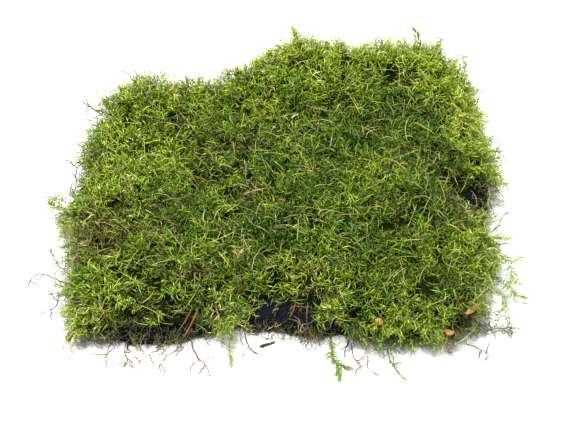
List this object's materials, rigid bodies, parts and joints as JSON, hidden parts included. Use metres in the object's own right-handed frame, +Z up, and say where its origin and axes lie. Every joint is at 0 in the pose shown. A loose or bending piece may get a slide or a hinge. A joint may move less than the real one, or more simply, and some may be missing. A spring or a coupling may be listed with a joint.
{
  "type": "moss clump",
  "caption": "Clump of feathery green turf moss lifted with a flat-cut layer of dark soil, for planting, terrariums, model landscapes or display dressing.",
  "frame": {"origin": "under the middle of the clump's plan, on the flat underside of its soil", "axes": "+X along the clump's longest side, +Y from its front edge to its back edge, +Z up"},
  "size_m": [0.3267, 0.2703, 0.077],
  "materials": {
    "soil": "matte",
    "moss": "matte",
    "leafy_shoots": "matte",
    "dead_stems": "matte",
    "roots": "matte",
    "bark": "matte",
    "pine_needles": "satin",
    "dry_leaf": "matte"
  },
  "bodies": {
    "root": {"soil_pad": "soil", "moss_carpet": "moss", "shoot_back_right_tall": "leafy_shoots", "shoot_back_right_mid": "leafy_shoots", "shoot_back_right_corner": "leafy_shoots", "shoot_back_middle": "leafy_shoots", "shoot_right_upper": "leafy_shoots", "shoot_right_middle": "leafy_shoots", "shoot_right_lower": "leafy_shoots", "shoot_right_front_arc": "leafy_shoots", "shoot_right_front_brown": "leafy_shoots", "shoot_left_star": "leafy_shoots", "shoot_left_middle": "leafy_shoots", "shoot_front_tuft": "leafy_shoots", "sprig_green": "leafy_shoots", "sprig_small": "leafy_shoots", "stem_front_curl": "dead_stems", "stem_left_loop": "dead_stems", "stem_left_front": "dead_stems", "stem_back_left": "dead_stems", "stem_right_mid": "dead_stems", "stem_right_low": "bark", "rootlet_brown": "dead_stems", "rootlet_thin": "dead_stems", "rootlet_hollow_left": "dead_stems", "rootlet_hollow_middle": "dead_stems", "rootlet_right": "dead_stems", "rootlet_left": "roots", "rootlet_pale": "roots", "rootlet_forked": "roots", "bark_chip": "bark", "stem_front_dark": "bark", "stem_back_left_dark": "bark", "stem_left_dark": "bark", "stem_right_back": "bark", "stem_right_notch": "bark", "pine_needle_front_left_a": "pine_needles", "pine_needle_front_left_b": "pine_needles", "pine_needle_hollow": "pine_needles", "pine_needle_front_right": "pine_needles", "pine_needle_left": "pine_needles", "leaf_scrap_front": "dry_leaf", "leaf_scrap_right": "dry_leaf", "leaf_scrap_corner": "dry_leaf", "leaf_scrap_middle": "dry_leaf", "leaf_scrap_left": "dry_leaf"}
  },
  "joints": []
}
